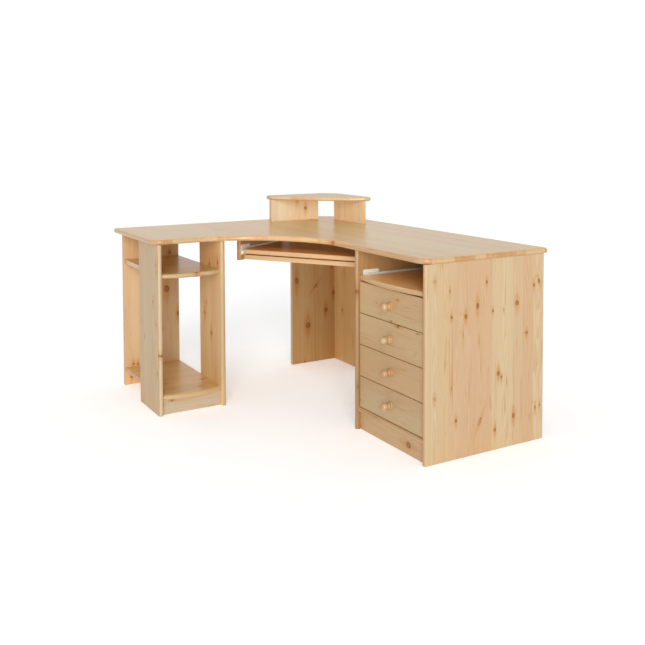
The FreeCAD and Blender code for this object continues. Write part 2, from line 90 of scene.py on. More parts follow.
# Pine, as linear base colours
WHITE = (1.0, 1.0, 1.0)
PALE_WOOD = (0.465, 0.315, 0.162)
CREAM_WOOD = (0.480, 0.350, 0.192)
PINK_WOOD = (0.460, 0.283, 0.148)
LATE_WOOD = (0.330, 0.165, 0.060)
STREAK_WOOD = (0.400, 0.195, 0.068)
HALO_WOOD = (0.410, 0.190, 0.055)
KNOT_WOOD = (0.290, 0.112, 0.026)
KNOT_RIM = (0.075, 0.024, 0.006)
END_PALE = (0.500, 0.350, 0.185)
END_DARK = (0.400, 0.195, 0.078)
# Pale edge colour: partly wear, partly a painted highlight on the rounded edges
WORN_AND_HIGHLIGHT_EDGE = (0.520, 0.370, 0.210)

# Painted shade: pine is tinted a deeper, more orange yellow where other boards keep the light off it,
# standing in for the warm light the boards bounce onto each other: the tint, how near they stand in metres,
# and the share of open sky over which the tint fades out
PAINTED_SHADE_TINT = (1.14, 1.00, 0.80)
SHADE_REACH = 0.25
SHADE_FADE = (0.10, 0.65)
SHADE_SAMPLES = 6

# Growth rings, in metres: over what width the staves' piths are spread, how deep they lie, how far they
# wander and taper, how far a knot pushes the rings aside, and how wide a ring is. In a pair, the second
# number is what chance adds at most.
PITH_SPREAD = 0.11
PITH_DEPTH = (0.012, 0.050)
PITH_WANDER = 0.030
PITH_TAPER = 0.03
KNOT_PUSH = 0.010
RING_WIDTH = (0.0022, 0.0022)

# One ring's shade at places across its width, from the sudden end of the last one's late wood to its own
RING_SHADES = ((0.0, 0.30), (0.10, 0.0), (0.55, 0.10), (0.93, 1.0), (1.0, 0.30))

# How strongly each mark colours the wood
LATE_STRENGTH = (0.20, 0.25)
PINK_STAVES = 0.90
PINK_BANDS = 0.35
STREAKS = 0.42
RESIN_LINES = 0.90
FIBRES = 0.16
GLUE_LINES = 0.22
END_RINGS = 0.35
# Pale edges: partly wear, partly a painted highlight
EDGE_WEAR_AND_HIGHLIGHT = 0.30

# A knot's marks: where each one fades in or out, in knot radii from its centre, and how strong it is; and how
# dark a knot has to be for its heart and rim to show
KNOT_RAGGED = 0.45
HALO_SHAPE = (0.42, 0.90)
HALO_FADE = (0.45, 1.45)
TAIL_FADE = (0.6, 6.0)
TAIL_NARROWNESS = 9.0
TAIL_STRENGTH = 0.75
HEART_FADE = (0.52, 0.72)
RIM_RISE, RIM_FADE = (0.38, 0.55), (0.55, 0.78)
RIM_SIDES = (-0.7, 0.7, 0.15, 0.95)
CIRCLES_TURN = 34.0
CIRCLES_STRENGTH = 0.25
HEART_SHOWS = (0.2, 0.7)

# Where a stave's glue line is, in stave widths from its middle
GLUE_LINE = (0.490, 0.499)

# From which turn, as a cosine, a surface counts as a board's end and as its face, and where an edge is worn
# pale and given a painted highlight
END_SLOPE = (0.45, 0.85, 0.0, 0.85)
FACE_SLOPE = (0.60, 0.92)
WORN_AND_HIGHLIGHT_TURN = (0.01, 0.20)

# Small chance knots: grid cells to the metre along the grain, how much closer they lie across it, how far
# they are off the grid, how a board's seed shifts the grid, the share of cells that hold a knot, the knots'
# radii in metres, how much longer than wide and how dark they are, and how many radii off an absent one is
PIN_KNOTS_PER_METRE = 3.2
PIN_KNOTS_CLOSER = 2.2
PIN_KNOT_SCATTER = 0.9
PIN_KNOT_SHIFT = Vector((1.0, 0.7, 0.0))
PIN_KNOT_SHARE = 0.30
PIN_KNOT_RADII = (0.0035, 0.0070)
PIN_KNOT_STRETCH = 1.5
PIN_KNOT_DARK = (0.3, 0.8)
FAR_AWAY = 50.0

# Surfaces: radii of the softened edges and depths of the relief in metres, what a board's relief is made of,
# how its fibres change its roughness, and how far a fitting's roughness varies
BOARD_EDGE, FITTING_EDGE = 0.0012, 0.0006
BOARD_RELIEF, FITTING_RELIEF = 0.0006, 0.0004
BOARD_BUMP = 0.10
LATE_RELIEF, FIBRE_RELIEF, GLUE_RELIEF = 0.35, 0.65, -0.6
FIBRE_ROUGHNESS = 0.16
SMOOTHEST, ROUGHEST = -0.08, 0.10
BEVEL_SAMPLES = 4

# Clear lacquer, by the names of the shader's sockets
LACQUER = {"IOR": 1.45, "Specular IOR Level": 0.42, "Coat Weight": 0.10, "Coat Roughness": 0.18}

# Chance: the first node's seed, the step to the next one's, which isn't a whole number, and the numbers that
# tell a stave's two draws apart
FIRST_SEED = 3.0
SEED_STEP = 1.37
OWN_DRAW, OTHER_DRAW = 1.7, 8.3

# One knot: where its centre is, in metres along the grain and across the board from the board's low corner,
# its radius, how much longer than wide it is, how dark it is, and how many degrees it turns off the grain.
Knot = namedtuple("Knot", "along across radius stretch dark turn", defaults=(1.4, 0.7, 0.0))

# One glued board: its grain, the direction in which its staves lie side by side, their width in metres, how
# pink and how rough it is, its knots, and how the tone of its faces and of its edges differs from plain pine,
# partly its own tone and partly painted light and shade that brightens boards in shade and darkens others.
Board = namedtuple("Board", "grain across stave warmth rough knots tone edge",
                   defaults=(0.052, 0.0, 0.36, (), WHITE, WHITE))

# The Mix node's first input and its output, by the kind of data that it mixes
MIX_SOCKETS = {"FLOAT": (2, 0), "VECTOR": (4, 1), "RGBA": (6, 2)}

FLOAT, VECTOR, COLOR = "NodeSocketFloat", "NodeSocketVector", "NodeSocketColor"


class Nodes:
    """Adds shader nodes to a tree, taking each input as a socket or a constant."""

    def __init__(self, tree):
        self.tree = tree

    def add(self, kind, inputs=(), **settings):
        node = self.tree.nodes.new(kind)
        for name, value in settings.items():
            setattr(node, name, value)
        for key, value in dict(inputs).items():
            self.plug(node.inputs[key], value)
        return node

    def plug(self, socket, value):
        if isinstance(value, bpy.types.NodeSocket):
            self.tree.links.new(value, socket)
        elif isinstance(value, (int, float)):
            socket.default_value = value
        elif socket.type == "RGBA" and len(value) == 3:
            socket.default_value = (*value, 1.0)
        else:
            socket.default_value = tuple(value)

    def math(self, operation, *values, clamp=False):
        node = self.add("ShaderNodeMath", enumerate(values), operation=operation, use_clamp=clamp)
        return node.outputs[0]

    def plus(self, first, *others):
        for other in others:
            first = self.math("ADD", first, other)
        return first

    def times(self, first, *others):
        for other in others:
            first = self.math("MULTIPLY", first, other)
        return first

    def absolute(self, value):
        return self.math("ABSOLUTE", value)

    def centred(self, value, width):
        """A value from 0 to 1, spread evenly about 0 over the given width."""
        return self.times(self.math("SUBTRACT", value, 0.5), width)

    def at_least(self, value, least, more):
        """A value from 0 to 1, as a number from the least to that much more."""
        return self.plus(self.times(value, more), least)

    def bell(self, value, sharpness):
        """1 where the value is 0, sinking to 0 on both sides."""
        return self.math("EXPONENT", self.times(value, value, -sharpness))

    def between(self, value, low, high, to_low=0.0, to_high=1.0):
        """A smooth step as the value goes from low to high."""
        inputs = {"Value": value, "From Min": low, "From Max": high, "To Min": to_low, "To Max": to_high}
        return self.add("ShaderNodeMapRange", inputs, interpolation_type="SMOOTHSTEP").outputs["Result"]

    def fade(self, value, start, stop):
        """1 up to the start, sinking to 0 at the stop."""
        return self.between(value, start, stop, 1.0, 0.0)

    def vector(self, operation, *values):
        node = self.add("ShaderNodeVectorMath", enumerate(values), operation=operation)
        scalar = operation in ("DOT_PRODUCT", "LENGTH")
        return node.outputs["Value" if scalar else "Vector"]

    def combine(self, x, y, z):
        return self.add("ShaderNodeCombineXYZ", {"X": x, "Y": y, "Z": z}).outputs[0]

    def split(self, vector):
        return self.add("ShaderNodeSeparateXYZ", {0: vector}).outputs

    def noise(self, vector, scale, detail=2.0, roughness=0.5):
        inputs = {"Vector": vector, "Scale": scale, "Detail": detail, "Roughness": roughness}
        return self.add("ShaderNodeTexNoise", inputs).outputs["Fac"]

    def grain(self, vector, along, across, detail=2.0, roughness=0.5):
        """Noise with about so many features to the metre along the grain and across it."""
        return self.noise(self.vector("MULTIPLY", vector, (along, across, across)), 1.0, detail, roughness)

    def chance(self, x, y, z):
        """Three random numbers for a place."""
        noise = self.add("ShaderNodeTexWhiteNoise", {"Vector": self.combine(x, y, z)}, noise_dimensions="3D")
        return self.split(noise.outputs["Color"])

    def ramp(self, value, stops):
        node = self.add("ShaderNodeValToRGB", {"Fac": value})
        elements = node.color_ramp.elements
        while len(elements) < len(stops):
            elements.new(0.5)
        for element, (place, grey) in zip(elements, stops):
            element.position = place
            element.color = (grey, grey, grey, 1.0)
        return node.outputs["Color"]

    def mix(self, factor, a, b, kind="RGBA"):
        first, result = MIX_SOCKETS[kind]
        node = self.add("ShaderNodeMix", {0: factor, first: a, first + 1: b}, data_type=kind)
        return node.outputs[result]

    def bevel(self, radius):
        return self.add("ShaderNodeBevel", {"Radius": radius}, samples=BEVEL_SAMPLES).outputs[0]

    def bump(self, height, normal, strength, depth):
        inputs = {"Height": height, "Normal": normal, "Strength": strength, "Distance": depth}
        return self.add("ShaderNodeBump", inputs).outputs[0]

    def surface(self, inputs):
        shader = self.add("ShaderNodeBsdfPrincipled", inputs)
        self.add("ShaderNodeOutputMaterial", {"Surface": shader.outputs[0]})


def new_group(name, inputs, outputs):
    """An empty node group with its sockets, and the helper that fills it."""
    tree = bpy.data.node_groups.new(name, "ShaderNodeTree")
    for socket, kind in inputs:
        tree.interface.new_socket(socket, in_out="INPUT", socket_type=kind)
    for socket, kind in outputs:
        tree.interface.new_socket(socket, in_out="OUTPUT", socket_type=kind)
    nodes = Nodes(tree)
    return nodes, nodes.add("NodeGroupInput").outputs, nodes.add("NodeGroupOutput").inputs


def new_nodes(owner):
    """Clears a material's or a world's own nodes, and gives the helper that fills it."""
    owner.use_nodes = True
    owner.node_tree.nodes.clear()
    return Nodes(owner.node_tree)


def knot_group():
    """Keeps the nearest knot met so far: its distance (1 at its edge), its offset and its darkness."""
    nearest = [("Distance", FLOAT), ("Offset", VECTOR), ("Dark", FLOAT)]
    own = [("Position", VECTOR), ("Centre", VECTOR), ("Size", VECTOR), ("Turn", FLOAT), ("Own Dark", FLOAT)]
    n, given, result = new_group("nearest knot", own + nearest, nearest)
    offset = n.vector("SUBTRACT", given["Position"], given["Centre"])
    inputs = {"Vector": offset, "Angle": given["Turn"]}
    turned = n.add("ShaderNodeVectorRotate", inputs, rotation_type="Z_AXIS").outputs[0]
    scaled = n.vector("MULTIPLY", turned, given["Size"])
    distance = n.vector("LENGTH", scaled)
    nearer = n.math("LESS_THAN", distance, given["Distance"])
    n.plug(result["Distance"], n.math("MINIMUM", distance, given["Distance"]))
    n.plug(result["Offset"], n.mix(nearer, given["Offset"], scaled, "VECTOR"))
    n.plug(result["Dark"], n.mix(nearer, given["Dark"], given["Own Dark"], "FLOAT"))
    return n.tree


# The stave at a place: its chance numbers, twice three, how many stave widths the place is from the stave's
# middle, whether it is on a glue line, and the place itself, shifted to the stave's own part of the noise
Stave = namedtuple("Stave", "own other middle glue shifted")


def stave_at(n, given, across):
    """The stave that a place belongs to: each has its own colour and its own place in the log."""
    place = n.plus(n.math("DIVIDE", across, given["Stave"]), given["Seed"])
    number = n.math("FLOOR", place)
    own = n.chance(number, given["Seed"], OWN_DRAW)
    other = n.chance(number, given["Seed"], OTHER_DRAW)
    middle = n.math("SUBTRACT", n.math("FRACT", place), 0.5)
    glue = n.between(n.absolute(middle), *GLUE_LINE)
    shifted = n.vector("ADD", given["Position"], n.combine(*own[:3]))
    return Stave(own, other, middle, glue, shifted)


def late_wood(n, given, stave, along, through):
    """Growth rings round a pith that wanders along the log: 0 in early wood, 1 in late wood."""
    side = n.plus(n.times(stave.middle, given["Stave"]), n.centred(stave.own[0], PITH_SPREAD))
    depth = n.plus(through, n.at_least(stave.own[1], *PITH_DEPTH))
    pith = n.vector("LENGTH", n.combine(side, depth, 0.0))
    taper = n.times(along, n.centred(stave.other[0], PITH_TAPER))
    wander = n.centred(n.grain(stave.shifted, along=1.6, across=22.4), PITH_WANDER)
    push = n.times(n.bell(given["Distance"], sharpness=0.30), KNOT_PUSH)
    radius = n.plus(pith, taper, wander, push)
    rings = n.math("DIVIDE", radius, n.at_least(stave.other[1], *RING_WIDTH))
    return n.ramp(n.math("FRACT", rings), RING_SHADES)


def face_color(n, given, stave, late, fibres):
    """Pale, cream or pinkish staves, with darker late wood, and streaks and resin lines along the grain."""
    color = n.mix(n.between(stave.own[2], 0.25, 0.75), PALE_WOOD, CREAM_WOOD)
    bands = n.between(n.grain(stave.shifted, along=0.9, across=26.0, detail=3.0), 0.35, 0.68)
    pink = n.times(n.between(stave.other[2], 0.25, 0.85), PINK_STAVES)
    pink = n.math("ADD", pink, n.times(bands, PINK_BANDS), clamp=True)
    color = n.mix(n.math("ADD", pink, given["Warmth"], clamp=True), color, PINK_WOOD)
    color = n.mix(n.times(n.at_least(stave.other[1], *LATE_STRENGTH), late), color, LATE_WOOD)
    streaks = n.grain(stave.shifted, along=2.2, across=170.0, detail=3.0, roughness=0.6)
    color = n.mix(n.times(n.between(streaks, 0.60, 0.78), STREAKS), color, STREAK_WOOD)
    lines = n.math("SUBTRACT", n.grain(stave.shifted, along=1.3, across=62.0, roughness=0.4), 0.5)
    lines = n.fade(n.absolute(lines), 0.004, 0.022)
    patches = n.between(n.grain(stave.shifted, along=2.6, across=30.0, detail=1.0), 0.44, 0.60)
    color = n.mix(n.times(lines, patches, RESIN_LINES), color, STREAK_WOOD)
    color = n.mix(n.times(n.between(fibres, 0.35, 0.75), FIBRES), color, LATE_WOOD)
    return n.mix(n.times(stave.glue, GLUE_LINES), color, LATE_WOOD)


def end_color(n, stave, late):
    """End grain: staves from pale to orange brown, with their rings as arcs."""
    mottle = n.between(n.grain(stave.shifted, along=18.0, across=60.0, detail=3.0), 0.30, 0.70, -0.3, 0.3)
    tone = n.math("ADD", n.between(stave.own[1], 0.15, 0.85), mottle, clamp=True)
    return n.mix(n.times(late, END_RINGS), n.mix(tone, END_PALE, END_DARK), END_DARK)


def add_knot(n, given, color):
    """The nearest knot: an orange halo and a tail along the grain, a ringed heart and a dark lopsided rim."""
    ragged = n.centred(n.noise(given["Offset"], scale=1.9, detail=3.0, roughness=0.6), KNOT_RAGGED)
    distance = n.plus(given["Distance"], ragged)
    drawn, sideways = n.split(given["Offset"])[:2]
    oval = n.vector("LENGTH", n.vector("MULTIPLY", given["Offset"], (*HALO_SHAPE, 0.0)))
    halo = n.fade(n.plus(oval, ragged), *HALO_FADE)
    color = n.mix(n.times(halo, given["Dark"]), color, HALO_WOOD)
    tail = n.times(n.bell(sideways, TAIL_NARROWNESS), n.fade(n.absolute(drawn), *TAIL_FADE), TAIL_STRENGTH)
    color = n.mix(n.times(tail, given["Dark"]), color, HALO_WOOD)
    strength = n.between(given["Dark"], *HEART_SHOWS)
    circles = n.plus(n.times(n.math("SINE", n.times(distance, CIRCLES_TURN)), 0.5), 0.5)
    wood = n.mix(n.times(circles, CIRCLES_STRENGTH), KNOT_WOOD, KNOT_RIM)
    color = n.mix(n.times(n.fade(distance, *HEART_FADE), strength), color, wood)
    rim = n.times(n.between(distance, *RIM_RISE), n.fade(distance, *RIM_FADE))
    lopsided = n.between(n.plus(drawn, sideways), *RIM_SIDES)
    return n.mix(n.times(rim, lopsided, strength), color, KNOT_RIM)


def pine_group():
    """The wood itself: staves, growth rings round each stave's own pith, fibres, streaks and knots."""
    inputs = [("Position", VECTOR), ("Seed", FLOAT), ("Stave", FLOAT), ("Warmth", FLOAT),
              ("Distance", FLOAT), ("Offset", VECTOR), ("Dark", FLOAT), ("End", FLOAT)]
    outputs = [("Color", COLOR), ("Height", FLOAT), ("Roughening", FLOAT)]
    n, given, result = new_group("pine", inputs, outputs)
    along, across, through = n.split(given["Position"])[:3]
    stave = stave_at(n, given, across)
    late = late_wood(n, given, stave, along, through)
    fibres = n.grain(stave.shifted, along=28.0, across=1500.0, roughness=0.6)
    face = face_color(n, given, stave, late, fibres)
    color = n.mix(given["End"], face, end_color(n, stave, late))
    relief = n.plus(n.times(late, LATE_RELIEF), n.times(fibres, FIBRE_RELIEF))
    n.plug(result["Color"], add_knot(n, given, color))
    n.plug(result["Height"], n.plus(relief, n.times(stave.glue, GLUE_RELIEF)))
    n.plug(result["Roughening"], n.centred(fibres, FIBRE_ROUGHNESS))
    return n.tree


KNOT_GROUP = knot_group()
PINE_GROUP = pine_group()


def pin_knot(n, position, seed):
    """The nearest of a sprinkle of small knots, which lie in some of the cells of a coarse grid."""
    density = (PIN_KNOTS_PER_METRE, PIN_KNOTS_PER_METRE * PIN_KNOTS_CLOSER, 0.0)
    place = n.vector("ADD", n.vector("MULTIPLY", position, density), seed * PIN_KNOT_SHIFT)
    cells = n.add("ShaderNodeTexVoronoi", {"Vector": place, "Scale": 1.0, "Randomness": PIN_KNOT_SCATTER},
                  voronoi_dimensions="2D").outputs
    chance = n.split(cells["Color"])
    radius = n.between(chance[1], 0.0, 1.0, *PIN_KNOT_RADII)
    metres = n.vector("DIVIDE", n.vector("SUBTRACT", place, cells["Position"]), (*density[:2], 1.0))
    offset = n.vector("DIVIDE", metres, n.combine(n.times(radius, PIN_KNOT_STRETCH), radius, 1.0))
    absent = n.math("GREATER_THAN", chance[0], PIN_KNOT_SHARE)
    offset = n.vector("ADD", offset, n.combine(n.times(absent, FAR_AWAY), 0.0, 0.0))
    offset = n.vector("MULTIPLY", offset, (1.0, 1.0, 0.0))
    return n.vector("LENGTH", offset), offset, n.between(chance[2], 0.0, 1.0, *PIN_KNOT_DARK)


def nearest_knot(n, board, position, seed):
    """The distance, offset and darkness of the nearest of a board's own knots and its small chance ones."""
    distance, offset, dark = pin_knot(n, position, seed)
    for knot in board.knots:
        size = (1.0 / (knot.radius * knot.stretch), 1.0 / knot.radius, 0.0)
        inputs = {"Position": position, "Centre": (knot.along, knot.across, 0.0), "Size": size,
                  "Turn": math.radians(knot.turn), "Own Dark": knot.dark,
                  "Distance": distance, "Offset": offset, "Dark": dark}
        distance, offset, dark = n.add("ShaderNodeGroup", inputs, node_tree=KNOT_GROUP).outputs[:3]
    return distance, offset, dark


def board_position(n, place, board, node):
    """Metres along, across and through a board, from its low corner."""
    axes = (board.grain, board.across, board.grain.cross(board.across))
    corners = [vertex.co for vertex in node.data.vertices]
    parts = []
    for axis in axes:
        start = min(corner.dot(axis) for corner in corners)
        parts.append(n.math("SUBTRACT", n.vector("DOT_PRODUCT", place, axis), start))
    return n.combine(*parts)


def board_tone_and_painted_light(n, normal, board):
    """The board's tone on its faces and on its edges: partly its own, partly painted light and shade."""
    through = n.vector("DOT_PRODUCT", normal, board.grain.cross(board.across))
    return n.mix(n.between(n.absolute(through), *FACE_SLOPE), board.edge, board.tone)


def painted_shade_tint(n):
    """Painted shade: a deeper, more orange yellow in corners and under overhangs, where other boards keep the
    light off.
    """
    sky = n.add("ShaderNodeAmbientOcclusion", {"Distance": SHADE_REACH}, samples=SHADE_SAMPLES)
    return n.mix(n.fade(sky.outputs["AO"], *SHADE_FADE), WHITE, PAINTED_SHADE_TINT)


def edge_wear_and_highlight(n, rounded):
    """How much a place is made pale, partly as wear and partly as a painted highlight: where the rounded
    normal leaves the true one, at the board's edges.
    """
    true = n.add("ShaderNodeNewGeometry").outputs["Normal"]
    turned = n.math("SUBTRACT", 1.0, n.vector("DOT_PRODUCT", rounded, true))
    return n.times(n.between(turned, *WORN_AND_HIGHLIGHT_TURN), EDGE_WEAR_AND_HIGHLIGHT)


def pine_material(name, board, seed):
    """Clear-lacquered pine for one board."""
    material = bpy.data.materials.new("pine_" + name)
    n = new_nodes(material)
    texture = n.add("ShaderNodeTexCoord").outputs
    position = board_position(n, texture["Object"], board, frame["nodes"][name])
    distance, offset, dark = nearest_knot(n, board, position, seed)
    along = n.absolute(n.vector("DOT_PRODUCT", texture["Normal"], board.grain))
    inputs = {"Position": position, "Seed": seed, "Stave": board.stave, "Warmth": board.warmth,
              "Distance": distance, "Offset": offset, "Dark": dark, "End": n.between(along, *END_SLOPE)}
    wood = n.add("ShaderNodeGroup", inputs, node_tree=PINE_GROUP).outputs
    # Board tones: partly painted light and shade, brighter on boards that sit in shade
    color = n.vector("MULTIPLY", wood["Color"], board_tone_and_painted_light(n, texture["Normal"], board))
    # Painted shade in corners and under overhangs
    color = n.vector("MULTIPLY", color, painted_shade_tint(n))
    rounded = n.bevel(BOARD_EDGE)
    # Paler edges: partly wear, partly a painted highlight
    color = n.mix(edge_wear_and_highlight(n, rounded), color, WORN_AND_HIGHLIGHT_EDGE)
    n.surface({
        "Base Color": color, "Roughness": n.plus(board.rough, wood["Roughening"]),
        "Normal": n.bump(wood["Height"], rounded, BOARD_BUMP, BOARD_RELIEF), **LACQUER})
    return material


def plain_material(name, colors, scale, stretch=(1.0, 1.0, 1.0), rough=0.4, metal=0.0, bump=0.05):
    """Two colours broken up by noise, for the small fittings and the floor."""
    material = bpy.data.materials.new(name)
    n = new_nodes(material)
    place = n.add("ShaderNodeTexCoord").outputs["Object"]
    mottle = n.noise(n.vector("MULTIPLY", place, stretch), scale, 4.0, 0.6)
    n.surface({
        "Base Color": n.mix(n.between(mottle, 0.3, 0.7), *colors), "Metallic": metal,
        "Normal": n.bump(mottle, n.bevel(FITTING_EDGE), bump, FITTING_RELIEF),
        "Roughness": n.between(mottle, 0.2, 0.8, rough + SMOOTHEST, rough + ROUGHEST)})
    return material


# The larger knots of each board
DESKTOP_KNOTS = (Knot(0.962, 0.646, 0.010, 1.3, 0.9), Knot(0.62, 0.86, 0.007))
RISER_LEFT_KNOTS = (Knot(0.060, 0.200, 0.011, 1.3, 0.9), Knot(0.103, 0.152, 0.008, 1.1, 0.9))
RISER_RIGHT_KNOTS = (Knot(0.103, 0.008, 0.009),)
CORNER_LEFT_KNOTS = (
    Knot(0.440, 0.027, 0.014, 1.9, 1.0), Knot(0.404, 0.140, 0.008, 3.2, 0.5, -40.0),
    Knot(0.197, 0.093, 0.020, 1.2, 1.0), Knot(0.268, 0.202, 0.014, 1.3, 0.9),
    Knot(0.357, 0.250, 0.013, 1.2, 1.0), Knot(0.530, 0.240, 0.018, 4.0, 0.5),
)
CORNER_RIGHT_KNOTS = (Knot(0.274, 0.079, 0.012, 1.1, 0.5),)
STAND_LEFT_KNOTS = (
    Knot(0.651, 0.230, 0.008), Knot(0.485, 0.187, 0.009, 1.3, 0.6), Knot(0.392, 0.226, 0.007),
    Knot(0.262, 0.251, 0.007, 1.3, 0.6), Knot(0.182, 0.235, 0.008),
)
STAND_RIGHT_KNOTS = (
    Knot(0.618, 0.118, 0.009, 1.3, 0.9), Knot(0.635, 0.213, 0.009, 1.4, 0.9),
    Knot(0.382, 0.059, 0.009, 1.6, 0.8), Knot(0.304, 0.135, 0.014, 1.2, 0.7),
)
STAND_BACK_KNOTS = (
    Knot(0.626, 0.230, 0.010, 1.2, 0.9), Knot(0.447, 0.212, 0.020, 1.3, 0.9),
    Knot(0.319, 0.271, 0.012, 1.3, 1.0), Knot(0.097, 0.042, 0.008, 1.2, 0.8),
    Knot(0.094, 0.063, 0.008, 1.2, 0.8), Knot(0.036, 0.032, 0.009, 1.3, 0.8),
)
UPPER_SHELF_KNOTS = (Knot(0.150, 0.545, 0.006, 1.2, 0.9),)
BOTTOM_SHELF_KNOTS = (
    Knot(0.242, 0.375, 0.009), Knot(0.191, 0.472, 0.009),
    Knot(0.068, 0.361, 0.007), Knot(0.072, 0.452, 0.007),
)
STAND_PLINTH_KNOTS = (Knot(0.043, 0.057, 0.006, 1.2, 0.9),)
END_PANEL_KNOTS = (
    Knot(0.673, 0.043, 0.010, 1.2, 0.4), Knot(0.632, 0.112, 0.005, 2.0, 0.5), Knot(0.534, 0.120, 0.007),
    Knot(0.530, 0.187, 0.010, 1.3, 0.8), Knot(0.564, 0.243, 0.010, 1.8, 0.7), Knot(0.537, 0.318, 0.006),
    Knot(0.535, 0.373, 0.004, 1.5, 0.5), Knot(0.555, 0.439, 0.014, 1.1, 0.6), Knot(0.617, 0.527, 0.007),
    Knot(0.630, 0.553, 0.008, 1.9, 0.6, 15.0), Knot(0.433, 0.490, 0.009, 1.0, 0.9),
    Knot(0.293, 0.347, 0.010, 1.3, 0.9), Knot(0.277, 0.362, 0.006, 1.6, 0.8),
    Knot(0.116, 0.425, 0.010, 1.6, 0.8), Knot(0.145, 0.142, 0.007, 1.5, 0.75),
    Knot(0.123, 0.256, 0.010, 2.6, 0.45, -25.0), Knot(0.077, 0.331, 0.008, 1.2, 0.8),
    Knot(0.129, 0.538, 0.005, 2.2, 0.7), Knot(0.135, 0.562, 0.005, 1.2, 0.8),
    Knot(0.270, 0.121, 0.004, 2.5, 0.5), Knot(0.242, 0.043, 0.010, 1.2, 0.4),
    Knot(0.463, 0.174, 0.005, 4.0, 0.4),
)
INNER_PANEL_KNOTS = (Knot(0.567, 0.002, 0.011, 1.2, 1.0),)
PEDESTAL_PLINTH_KNOTS = (Knot(0.334, 0.037, 0.018, 1.3, 0.6),)
DRAWER_KNOTS = {
    1: (Knot(0.268, 0.095, 0.006, 1.2, 0.7), Knot(0.225, 0.005, 0.006, 1.2, 0.6)),
    2: (Knot(0.270, 0.124, 0.009, 1.2, 0.9),),
    3: (),
    4: (),
}
# Drawer fronts' tones; the lowest drawer is painted darker as shade
DRAWER_TONES_AND_PAINTED_SHADE = {1: (0.98, 1.06, 1.06), 2: (1.00, 1.05, 1.03), 3: (0.99, 1.04, 1.00), 4: (0.92, 0.94, 0.90)}

# Each board's grain, staves' direction and width, warmth, roughness, knots, and tones of its faces and edges,
# which are partly its own and partly painted light and shade for how brightly the board is lit
BOARDS = {
    "desktop": Board(LONG, WIDE, 0.050, 0.0, 0.30, DESKTOP_KNOTS, (1.31, 1.31, 1.04)),
    "riser_top": Board(WIDE, LONG, 0.050, 0.10, 0.32, (), (1.08, 1.14, 1.02), (0.90, 1.00, 1.12)),
    "riser_left_panel": Board(UP, WIDE, 0.050, 0.0, 0.36, RISER_LEFT_KNOTS, (1.00, 1.25, 1.68)),
    "riser_right_panel": Board(UP, LONG, 0.046, 0.1, 0.36, RISER_RIGHT_KNOTS, (1.24, 1.50, 1.84)),
    "corner_left_panel": Board(UP, WIDE, 0.056, 0.3, 0.40, CORNER_LEFT_KNOTS, (0.70, 0.60, 0.42)),
    "corner_right_panel": Board(UP, LONG, 0.056, 0.1, 0.40, CORNER_RIGHT_KNOTS, (1.22, 1.18, 0.96)),
    "stand_left_side": Board(UP, LONG, 0.064, 0.0, 0.36, STAND_LEFT_KNOTS,
                             (0.90, 0.93, 0.90), (1.06, 1.22, 1.45)),
    "stand_right_side": Board(UP, LONG, 0.064, 0.1, 0.36, STAND_RIGHT_KNOTS,
                              (1.34, 1.32, 1.22), (0.90, 0.90, 0.92)),
    "stand_back_panel": Board(UP, WIDE, 0.060, 0.1, 0.38, STAND_BACK_KNOTS, (1.20, 1.29, 1.36)),
    "stand_upper_shelf": Board(WIDE, LONG, 0.050, 0.0, 0.30, UPPER_SHELF_KNOTS, (1.08, 1.14, 0.90)),
    "stand_bottom_shelf": Board(WIDE, LONG, 0.050, 0.1, 0.36, BOTTOM_SHELF_KNOTS, (1.46, 1.42, 1.04)),
    "stand_plinth": Board(WIDE, UP, 0.070, 0.0, 0.38, STAND_PLINTH_KNOTS, (0.88, 1.07, 1.42)),
    "pedestal_end_panel": Board(UP, WIDE, 0.052, 0.0, 0.36, END_PANEL_KNOTS, (1.0, 1.07, 1.17)),
    "pedestal_inner_panel": Board(UP, WIDE, 0.052, 0.15, 0.38, INNER_PANEL_KNOTS,
                                  (0.64, 0.60, 0.52), (0.70, 0.72, 0.66)),
    "pedestal_back_panel": Board(UP, LONG, 0.060, 0.1, 0.42),
    "pedestal_floor": Board(LONG, WIDE, 0.060, 0.0, 0.38),
    "pedestal_plinth": Board(LONG, UP, 0.072, 0.0, 0.38, PEDESTAL_PLINTH_KNOTS, (1.00, 1.07, 1.13)),
    "tray_left_bracket": Board(TRAY_OUT, UP, 0.120, 0.1, 0.40, (), (0.74, 0.66, 0.56), (0.68, 0.62, 0.52)),
    "tray_right_bracket": Board(TRAY_OUT, UP, 0.120, 0.1, 0.40),
    "tray_rail": Board(TRAY_LONG, TRAY_OUT, 0.060, 0.0, 0.38),
    "keyboard_tray": Board(TRAY_LONG, TRAY_OUT, 0.055, 0.25, 0.46, (), (1.20, 1.08, 0.88)),
    "pullout_shelf": Board(LONG, WIDE, 0.055, 0.0, 0.32, (), (1.74, 1.80, 1.60)),
}
for number, tone in DRAWER_TONES_AND_PAINTED_SHADE.items():
    BOARDS[f"drawer_{number}_front"] = Board(LONG, UP, 0.140, 0.0, 0.36, DRAWER_KNOTS[number], tone)
    BOARDS[f"drawer_{number}_sides"] = Board(WIDE, UP, 0.100, 0.0, 0.45)
    BOARDS[f"drawer_{number}_back"] = Board(LONG, UP, 0.100, 0.0, 0.45)
    BOARDS[f"drawer_{number}_knob"] = Board(WIDE, LONG, 0.200, 0.15, 0.30)

PLYWOOD = plain_material("plywood", ((0.50, 0.34, 0.19), (0.60, 0.44, 0.27)), 9.0, (1.0, 12.0, 12.0), 0.5)
BEECH = plain_material("beech", ((0.42, 0.24, 0.12), (0.52, 0.33, 0.18)), 30.0, (8.0, 8.0, 1.0), 0.5)
